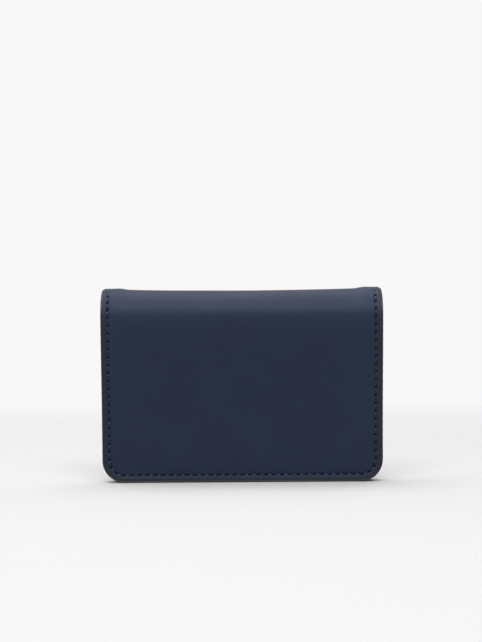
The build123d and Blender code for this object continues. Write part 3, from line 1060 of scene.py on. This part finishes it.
# ------------------------------------------------------------------ side gussets
def gusset(side, word):
    """A leather V that lets the pocket spread: sewn to the back and to the front, folded into the pocket."""
    thickness, reach = 0.45, 7.0
    mouth = HALF_WIDTH - 1.3
    heights = spaced(4.7, 58.0, 1.1)
    q = np.concatenate([np.linspace(-1, -0.2, 10), np.linspace(-0.16, 0.16, 9), np.linspace(0.2, 1, 10)])
    rows_outer, rows_inner = [], []
    for z in heights:
        gap = LINING_FACE_Y - POCKET_Y + (z - POCKET_Z) * math.tan(LEAN)
        gap -= pocket_bow(z - POCKET_Z)
        middle = LINING_FACE_Y - gap / 2
        half = gap / 2 - thickness / 2 - 0.03
        dip = 1.2 * smooth(z, 50, 58)
        bow = np.sqrt(q * q + 0.012) - math.sqrt(0.012)
        bow = bow / bow.max()
        x = side * (mouth - (reach - dip) * (1 - bow ** 1.25))
        y = middle - np.sign(q) * half * np.abs(q) ** 0.85
        centre = np.column_stack([x, y])
        way = np.gradient(centre, axis=0)
        way /= np.linalg.norm(way, axis=1)[:, None]
        normal = np.column_stack([-way[:, 1], way[:, 0]])
        for rows, sign in ((rows_outer, 1), (rows_inner, -1)):
            edge = centre + normal * sign * thickness / 2
            rows.append(np.column_stack([edge, np.full(len(q), z)]))
    outer, inner = np.array(rows_outer), np.array(rows_inner)
    count_z, count_q = len(heights), len(q)
    points = np.vstack([outer.reshape(-1, 3), inner.reshape(-1, 3)]) * MM
    base = count_z * count_q
    faces = []

    def at(layer, i, j):
        return layer * base + i * count_q + j

    for i in range(count_z - 1):
        for j in range(count_q - 1):
            faces.append([at(0, i, j), at(0, i, j + 1), at(0, i + 1, j + 1), at(0, i + 1, j)])
            faces.append([at(1, i, j), at(1, i + 1, j), at(1, i + 1, j + 1), at(1, i, j + 1)])
        faces.append([at(0, i, 0), at(0, i + 1, 0), at(1, i + 1, 0), at(1, i, 0)])
        last = count_q - 1
        faces.append([at(0, i, last), at(1, i, last), at(1, i + 1, last), at(0, i + 1, last)])
    for j in range(count_q - 1):
        faces.append([at(0, 0, j), at(1, 0, j), at(1, 0, j + 1), at(0, 0, j + 1)])
        top = count_z - 1
        faces.append([at(0, top, j), at(0, top, j + 1), at(1, top, j + 1), at(1, top, j)])
    if side > 0:
        faces = [face[::-1] for face in faces]
    sheet = np.column_stack([
        np.tile(q * 8, 2 * count_z), np.repeat(np.tile(heights, 2), count_q), np.zeros(2 * base)
    ])
    piece = make_object(f"gusset_{word}_leather", points, faces, INNER_LEATHER, sheet)
    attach(piece, "back_half")
    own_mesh(piece)
    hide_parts(f"gusset_{word}")


gusset(-1, "left")
gusset(1, "right")


# ------------------------------------------------------------------ floor, light and camera
PAPER = (0.935, 0.935, 0.935)  # how bright the sheet looks, far away
FLOOR_TONE = (0.473, 0.473, 0.473)  # under these lights this looks as bright as PAPER
LIT_FLOOR, EVEN_FLOOR = 0.22, 0.60  # lit up to the first distance; past the second, an even tone


def backdrop():
    """A pale seamless sheet, rising in a wide curve far behind. The lights fall on it round the holder, and
    further away it has an even tone of its own."""
    profile = [(-4.0, 0.0), (-1.5, 0.0), (0.0, 0.0), (1.6, 0.0)]
    profile += [(1.6 + 1.4 * math.sin(a), 1.4 * (1 - math.cos(a))) for a in np.linspace(0.1, math.pi / 2, 16)]
    profile += [(3.0, 4.5)]
    columns = np.linspace(-5, 5, 21)
    points = [(x, y, z - 0.00002) for y, z in profile for x in columns]
    faces = []
    for i in range(len(profile) - 1):
        for j in range(len(columns) - 1):
            a = i * len(columns) + j
            faces.append([a, a + 1, a + 1 + len(columns), a + len(columns)])
    material, tree, shader = nodes_for("pale_floor")
    place = add_node(tree, "ShaderNodeTexCoord").outputs["Object"]
    away = add_node(tree, "ShaderNodeVectorMath", {0: place}, operation="LENGTH").outputs["Value"]
    far = span(tree, away, LIT_FLOOR, EVEN_FLOOR, 0.0, 1.0)
    tree.links.new(mix_colour(tree, far, (*FLOOR_TONE, 1), (0, 0, 0, 1)), shader.inputs["Base Color"])
    tree.links.new(mix_colour(tree, far, (0, 0, 0, 1), (*PAPER, 1)), shader.inputs["Emission Color"])
    shader.inputs["Emission Strength"].default_value = 1.0
    shader.inputs["Roughness"].default_value = 1.0
    shader.inputs["Specular IOR Level"].default_value = 0
    material.cycles.emission_sampling = "NONE"
    floor = make_object("backdrop", np.array(points), faces, material)
    floor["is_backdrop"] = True


def surround():
    """Walls of the same tone all round, just beyond the floor's edges, which throw no light."""
    corners = [(-5.05, 3.05), (-5.05, -4.05), (5.05, -4.05), (5.05, 3.05)]
    points = [(x, y, z) for z in (-0.8, 4.6) for x, y in corners]
    faces = [(i, (i + 1) % 4, (i + 1) % 4 + 4, i + 4) for i in range(4)]
    material, tree, shader = nodes_for("pale_wall")
    shader.inputs["Emission Color"].default_value = (*PAPER, 1)
    shader.inputs["Emission Strength"].default_value = 1.0
    shader.inputs["Base Color"].default_value = (0, 0, 0, 1)
    shader.inputs["Specular IOR Level"].default_value = 0
    material.cycles.emission_sampling = "NONE"
    walls = make_object("surround", np.array(points), faces, material)
    walls.visible_diffuse = walls.visible_glossy = walls.visible_shadow = walls.visible_transmission = False
    walls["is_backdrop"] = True


def area_light(name, location, target, size, power):
    data = bpy.data.lights.new(name, "AREA")
    data.shape = "RECTANGLE"
    data.size, data.size_y = size
    data.energy = power
    lamp = bpy.data.objects.new(name, data)
    lamp.location = location
    lamp.rotation_mode = "QUATERNION"
    lamp.rotation_quaternion = (Vector(target) - Vector(location)).to_track_quat("-Z", "Y")
    bpy.context.scene.collection.objects.link(lamp)


backdrop()
surround()
area_light("overhead", (-0.15, -0.15, 1.30), (0, 0, 0), (1.6, 1.2), 12.2)
area_light("overhead_back", (-0.15, 0.35, 1.30), (0, 0, 0), (1.6, 0.7), 10.8)
area_light("left_fill", (-1.4, -0.5, 1.0), (0, 0, 0.04), (1.0, 1.0), 2.6)
area_light("right_rim", (1.6, 0.5, 0.8), (0, 0, 0.04), (0.8, 0.8), 2.0)
area_light("left_rim", (-1.6, 0.5, 0.8), (0, 0, 0.04), (0.8, 0.8), 2.0)
area_light("front_fill", (0, -1.8, 1.6), (0, 0.3, 0), (2.0, 1.0), 60.7)

world = bpy.data.worlds.new("studio")
world.use_nodes = True
world.node_tree.nodes["Background"].inputs["Color"].default_value = (1, 1, 1, 1)
world.node_tree.nodes["Background"].inputs["Strength"].default_value = 0.08
bpy.context.scene.world = world
bpy.context.scene.view_settings.view_transform = "Standard"

camera_data = bpy.data.cameras.new("camera")
camera_data.lens = 89.56
camera_data.sensor_width = 36
camera_data.clip_start, camera_data.clip_end = 0.05, 30
camera = bpy.data.objects.new("camera", camera_data)
bpy.context.scene.collection.objects.link(camera)
camera_place = Vector((-0.0003, -0.6275, 0.0632))
look = Vector((0, 1, 0)).to_track_quat("-Z", "Y").to_matrix()
roll = Matrix.Rotation(math.radians(-0.38), 3, "Z")
camera.matrix_world = Matrix.Translation(camera_place) @ (look @ roll).to_4x4()
bpy.context.scene.camera = camera

low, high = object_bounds()
